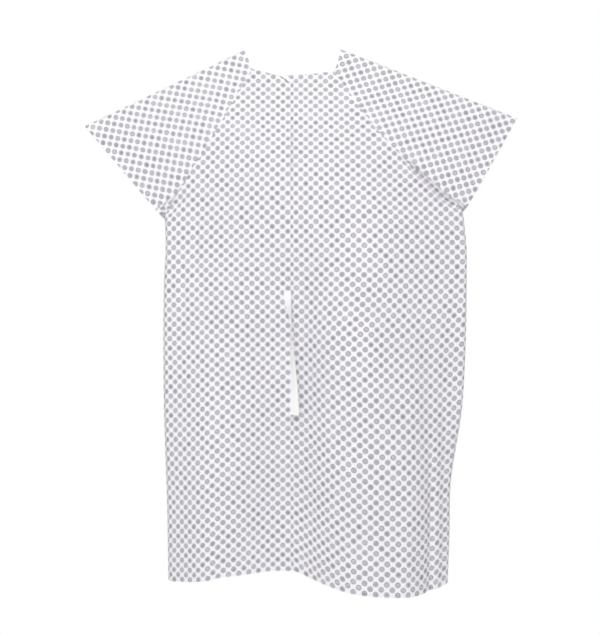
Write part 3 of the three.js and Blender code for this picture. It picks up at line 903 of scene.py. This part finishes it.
def add_hem_stitches(name, surface, outward, body, *nodes):
    made = on_panel(surface, outward, 0, np.linspace(0.015, 0.985, 160), 0, HEM_DEPTH - HEM_STITCH_INSET)
    add_stitches(name, both_faces(*made), body, *nodes)


for side in HALVES:
    add_hem_stitches(f"hem_stitches_back_{side}", BACK[side], 1, f"{side}_flap",
                     f"hem_stitching_back_{side}", f"hem_stitching_flap_{side}")
add_hem_stitches("hem_stitches_front", front_surface, -1, "body", "hem_stitching_front")

EDGE_NODES = {"left": ["edge_stitching_left"], "right": ["edge_stitching_right", "edge_stitching_flap_right"]}
for side, half in HALVES.items():
    inset = half["sign"] * (EDGE_HEM_DEPTH - HEM_STITCH_INSET)
    made = on_panel(BACK[side], 1, np.linspace(0.012, 0.985, 260), 1, inset, 0)
    add_stitches(f"edge_stitches_{side}", both_faces(*made), f"{side}_flap", *EDGE_NODES[side])

for side in HALVES:
    share = 1 - (SLEEVE_HEM_DEPTH - HEM_STITCH_INSET) / top_length(side)
    made = on_sleeve(side, share, np.linspace(-0.985, 0.985, 240))
    add_stitches(f"sleeve_hem_stitches_{side}", both_faces(*made), f"{side}_sleeve", f"sleeve_hem_{side}")


# Seam allowances, pressed to one side and overlocked together.
ALLOWANCE, ALLOWANCE_THICKNESS, ALLOWANCE_DEPTH = 6.5, 0.8, CLOTH + 1.15
OVERLOCK_EDGES, OVERLOCK_DEPTH = (2.6, ALLOWANCE + 0.2), CLOTH + 2.1
RAGLAN_ROWS = np.linspace(UNDERARM_ROW + 0.008, 0.985, 90)
SIDE_ROWS = np.linspace(0.022, UNDERARM_ROW - 0.008, 200)


def add_seam(name, surface, outward, rows, edge, inward, node):
    """One seam's allowance inside the gown, and the overlocking along it."""
    widths = np.array([0.4, 2, 4, ALLOWANCE])
    points, normals = on_panel(surface, outward, rows[:, None], edge, inward * widths, 0, ALLOWANCE_DEPTH)
    flat = np.stack(np.broadcast_arrays(widths, run_lengths(points)), -1)
    order = np.s_[::-1, :: inward * outward]
    strip = shell(f"{name}_allowance", points[order], [BACK_OF_CLOTH] * 2, flat[order], ALLOWANCE_THICKNESS)
    settle(strip, "body", "print")
    lines = [on_panel(surface, outward, rows, edge, inward * w, 0, OVERLOCK_DEPTH)[0] for w in OVERLOCK_EDGES]
    add_stitches(f"{name}_overlock", zigzag(*lines, -normals[:, 0]), "body", node)


for side, half in HALVES.items():
    inward, front_edge = -half["sign"], {"left": 0, "right": 1}[side]
    add_seam(f"raglan_back_{side}", BACK[side], 1, RAGLAN_ROWS, 0, inward, f"raglan_seam_back_{side}")
    add_seam(f"side_{side}", BACK[side], 1, SIDE_ROWS, 0, inward, f"side_seam_{side}")
    add_seam(f"raglan_front_{side}", front_surface, -1, RAGLAN_ROWS, front_edge, inward,
             f"raglan_seam_front_{side}")


# ---- Neck binding ----
BINDING_HEIGHT, BINDING_OVERLAP, BINDING_HALF = 7.2, 2.6, 1.0
BINDING_LEAN = 0.42  # how far it leans in over the neck as it rises
NECK_MIDDLE = (0, 8, 0)


def neck_path():
    """The neck edge from the left panel's free corner, round the front, to the right one's."""
    runs = [
        BACK["left"](1, np.linspace(1, 0, 60)),
        sleeve_surface("left")(0, np.linspace(-1, 1, 60)),
        front_surface(1, np.linspace(0, 1, 120)),
        sleeve_surface("right")(0, np.linspace(1, -1, 60)),
        BACK["right"](1, np.linspace(0, 1, 90)),
    ]
    path = resample(np.concatenate([runs[0], *(run[1:] for run in runs[1:])]), 2.4)[0]
    for _ in range(3):
        path[1:-1] = (path[:-2] + 2 * path[1:-1] + path[2:]) / 4
    return path


def tube(name, centre, side, up, profile, material):
    """A closed strip swept along a path; the profile is (along side, along up) pairs, clockwise."""
    points = centre[:, None] + side[:, None] * profile[None, :, :1] + up[:, None] * profile[None, :, 1:]
    girth = np.linalg.norm(np.roll(profile, -1, 0) - profile, axis=1).cumsum() - 1
    uv = np.stack(np.broadcast_arrays(girth, run_lengths(centre)[:, None]), -1)
    return add_mesh(name, points, ring_faces(*points.shape[:2]), [material], uv, sharp=60)


def add_binding():
    path = neck_path()
    along = unit(np.gradient(path, axis=0))
    inward = unit(unit(np.array(NECK_MIDDLE) - path) * (1, 1, 0))
    up = np.array([0, 0, 1]) + inward * BINDING_LEAN
    up = unit(up - along * (up * along).sum(1, keepdims=True))
    out = unit(np.cross(along, up))
    count = np.arange(len(path))[:, None]
    puckers = np.sin(count * 0.9) * 0.12 + np.sin(count * 0.37) * 0.2
    curl = np.exp(-count / 4.5)  # the free corner curls over and droops
    centre = path + out * (puckers - 0.15)
    side, up = unit(out + up * curl * 0.6), unit(up - out * curl * 0.5)
    top, half = BINDING_HEIGHT - BINDING_OVERLAP, BINDING_HALF
    profile = [(half, -BINDING_OVERLAP), (half + 0.15, -1.2), (half + 0.05, 0.6), (half - 0.05, top - 1.6),
               (half - 0.35, top - 0.5)]
    profile = np.array([*profile, (0, top), *((-x, y) for x, y in profile[::-1])])
    piece = tube("neck_binding_strip", centre, side, up, profile[::-1], BINDING)
    settle(piece, "body", "binding", "neck_binding")
    rows = []
    for face in (1, -1):
        line = centre + side * (face * (half + 0.12)) + up * (1 - BINDING_OVERLAP)
        rows.append(running_stitch(line[2:-2], side[2:-2] * face, pitch=2.6))
    add_stitches("neck_binding_stitches", rows, "body")


add_binding()

# ---- Ties ----
TAPE_WIDTH, SEWN_WIDTH, TAPE_THICKNESS = 20, 15, 0.9
TIE_TOP, TIE_LENGTH = -531, 264
OUTER_TIE_X, INNER_TIE_X, INNER_TIE_DEPTH = -4.5, -84, 9.5
OUTER_TIE_Y = float(layer_y("back", -10, TIE_TOP)) - 6.5
# The outer tie's turn about its own edge, as (share of its length, radians): it is side-on for a while.
TIE_TURN = ((0, math.pi), (0.12, 2.2), (0.25, 1.66), (0.42, 1.42), (0.6, 1.08), (0.8, 0.7), (1, 0.42))
DOWN = np.linspace(0, 1, 100)[:, None]
ACROSS = np.linspace(0, 1, 7)
TIE_WIDTHS = lerp(SEWN_WIDTH, TAPE_WIDTH, smooth(DOWN, 0, 0.15)) * ACROSS
TIE_Z = np.broadcast_to(TIE_TOP - TIE_LENGTH * DOWN, TIE_WIDTHS.shape)


def tape(name, points, body, node):
    """A flat tape: rows run down it from its sewn end."""
    middle = len(ACROSS) // 2
    widths = run_lengths(points, 1)
    flat = np.stack([widths, np.broadcast_to(run_lengths(points)[:, middle, None], widths.shape)], -1)
    piece = shell(name, points, [TAPE, TAPE], flat, TAPE_THICKNESS)
    settle(piece, body, "tape", node)
    centre = points[:, middle] - grid_normals(points)[:, middle] * TAPE_THICKNESS / 2
    length = round(float(run_lengths(centre)[-1] * MM), 3)
    tuple(centre[0] * MM)
    (centre * MM).tolist()


def add_outer_tie():
    turn = through(TIE_TURN, DOWN)
    bow = 1.2 * np.sin(math.pi * ACROSS) * smooth(DOWN, 0.1, 0.5)
    x = OUTER_TIE_X + TIE_WIDTHS * np.cos(turn) + 1.2 * np.sin(5 * DOWN)
    y = OUTER_TIE_Y - TIE_WIDTHS * np.sin(turn) - bow + 0.8 * np.sin(9 * DOWN)
    tape("waist_tie_outer_tape", np.stack([x, y, TIE_Z], -1)[:, ::-1], "outer_tie", "waist_tie_outer")


def add_inner_tie():
    x = INNER_TIE_X + TIE_WIDTHS + 1.5 * np.sin(4 * DOWN)
    y = np.maximum(layer_y("back", x, TIE_Z), layer_y("back", INNER_TIE_X, TIE_TOP) - 2) + INNER_TIE_DEPTH
    tape("waist_tie_inner_tape", np.stack([x, y, TIE_Z], -1), "inner_tie", "waist_tie_inner")


def add_bar_tack(which, x, z, lift, body):
    """A close zigzag that holds a tape's end to the cloth, with its threads across the tape."""
    width, height, count = SEWN_WIDTH - 2.5, 3.2, 24
    at = np.linspace(x - width / 2, x + width / 2, count)
    y = layer_y("back", at, z) + lift
    facing = np.tile([0.0, -1.0, 0.0], (count, 1))

    def level(up, behind=0.0):
        return np.stack([at, y + behind, np.full(count, float(z + up))], -1)

    bits = zigzag(level(0), level(-height), facing, width / count, 0.26)
    bits += [running_stitch(level(up, -0.15), facing, 0.15, 2.4) for up in (-0.4, 0.4 - height)]
    add_stitches(f"bar_tack_stitches_{which}", bits, body, f"bar_tack_{which}")


add_outer_tie()
add_inner_tie()
add_bar_tack("outer", OUTER_TIE_X - SEWN_WIDTH / 2, TIE_TOP - 2, -6.9, "left_flap")
add_bar_tack("inner", INNER_TIE_X + SEWN_WIDTH / 2, TIE_TOP + 3, INNER_TIE_DEPTH - 1.4, "body")

# ---- Press stud and label ----
STUD_SHARE, STUD_ROW, STUD_RADIUS, STUD_SIDES = 0.82, 0.955, 5.0, 40
SOCKET_DEPTH, POST_DEPTH = CLOTH + 0.15, CLOTH + 2.2  # below the left panel's outer face
LABEL_WIDTH, LABEL_HEIGHT, LABEL_TOP, LABEL_THICKNESS = 34, 46, 14, 0.3


def turned_disc(name, profile, place, normal, node):
    """A turned shape about the cloth's normal: the profile is (radius, height) from axis to axis."""
    turn = np.arange(STUD_SIDES)[:, None] * math.tau / STUD_SIDES
    aside = unit(np.cross(normal, (0, 0, 1)))
    ring = aside * np.cos(turn) + np.cross(aside, normal) * np.sin(turn)
    points = np.stack([place + ring * max(r, 0.02) + normal * h for r, h in profile])
    piece = add_mesh(name, points, ring_faces(*points.shape[:2]), [PLASTIC], sharp=40)
    settle(piece, "body", "plastic", node)


def add_press_stud():
    place, normal = (v.reshape(3) for v in on_panel(BACK["left"], 1, STUD_ROW, STUD_SHARE))
    r = STUD_RADIUS
    flange = [(r - 0.3, 0), (r, -0.2), (r, -0.6), (r - 0.3, -0.85)]
    socket = [(0, 0), *flange, (3.2, -0.95), (2.9, -1.35), (2.0, -1.35), (1.9, -0.75), (0, -0.75)]
    post = [(0, 0.75), (1.3, 0.75), (1.6, 0.5), (1.45, 0.1), (1.6, 0), *flange, (0, -0.9)]
    turned_disc("press_stud_socket", socket, place - normal * SOCKET_DEPTH, normal, "neck_snap_socket")
    turned_disc("press_stud_post", post, place - normal * POST_DEPTH, normal, "neck_snap_stud")


def add_label():
    down = np.linspace(0, 1, 24)[:, None]
    across = np.linspace(-0.5, 0.5, 16) * LABEL_WIDTH
    points, _ = on_panel(front_surface, -1, 1, 0.49, across, -(LABEL_TOP + LABEL_HEIGHT * down))
    curl = 1.9 + 5.5 * down**2.2 + 2.6 * (np.abs(across) / LABEL_WIDTH * 2) ** 3 * down
    points[..., 1] -= curl
    flat = np.stack(np.broadcast_arrays(across, -LABEL_HEIGHT * down), -1)
    piece = shell("care_label_blank", points, [LABEL, LABEL], flat, LABEL_THICKNESS)
    settle(piece, "body", "label", "care_label")
    line = points[1, 1:-1]
    facing = np.tile([0.0, -1.0, 0.0], (len(line), 1))
    add_stitches("care_label_stitches", [running_stitch(line, facing, 0.1, 2.2)], "body")


add_press_stud()
add_label()

# ---- Studio ----
SKY_FRONT, SKY_SIDE, SKY_BELOW = 0.8, 0.6, 0.5  # light from before the gown, its sides and below
SKY_COLOUR = (1, 0.995, 0.985)
FLOOR_Z, FLOOR_HALF = -1.75, 1.2
KEY_PLACE, KEY_AIM, KEY_SIZE, KEY_WATTS = (-0.35, -2.6, 0.9), (0, 0, -0.45), 1.4, 38


def add_world():
    """A white backdrop for the camera, and softer light from the sides and from below."""
    world = bpy.data.worlds.new("studio")
    world.use_nodes = True
    bpy.context.scene.world = world
    graph = Graph(world.node_tree)
    lit = graph.tree.nodes["Background"]
    across, _, up = graph.split(graph.add("TexCoord", {}, "Generated"))
    aside = graph.ramp(graph.maths("ABSOLUTE", across), 0.35, 0.95, SKY_FRONT, SKY_SIDE)
    graph.feed(lit, {"Color": SKY_COLOUR, "Strength": aside * graph.ramp(up, -0.15, -0.9, 1, SKY_BELOW)})
    white = graph.add("Background", {"Color": (1, 1, 1)})
    seen = graph.add("LightPath", {}, "Is Camera Ray")
    both = graph.add("MixShader", {0: seen, 1: Wire(graph, lit.outputs[0]), 2: white})
    graph.feed(graph.tree.nodes["World Output"], {"Surface": both})


def add_key():
    data = bpy.data.lights.new("key", "AREA")
    data.shape, data.size, data.energy = "DISK", KEY_SIZE, KEY_WATTS
    lamp = add_object("key", data)
    lamp.location = KEY_PLACE
    lamp.rotation_euler = (Vector(KEY_AIM) - Vector(KEY_PLACE)).to_track_quat("-Z", "Y").to_euler()


def add_floor():
    graph = Material("pale_floor", (0.86, 0.86, 0.86), 0.9)
    graph.bump(graph.noise(40), 0.001, 0.2)
    mesh = bpy.data.meshes.new("studio_floor")
    corners = [(x * FLOOR_HALF, y * FLOOR_HALF, FLOOR_Z) for x, y in ((-1, -1), (1, -1), (1, 1), (-1, 1))]
    mesh.from_pydata(corners, [], [(0, 1, 2, 3)])
    mesh.materials.append(graph.material)
    add_object("studio_floor", mesh)


add_world()
add_floor()
add_key()
bpy.context.scene.view_settings.view_transform = "Standard"
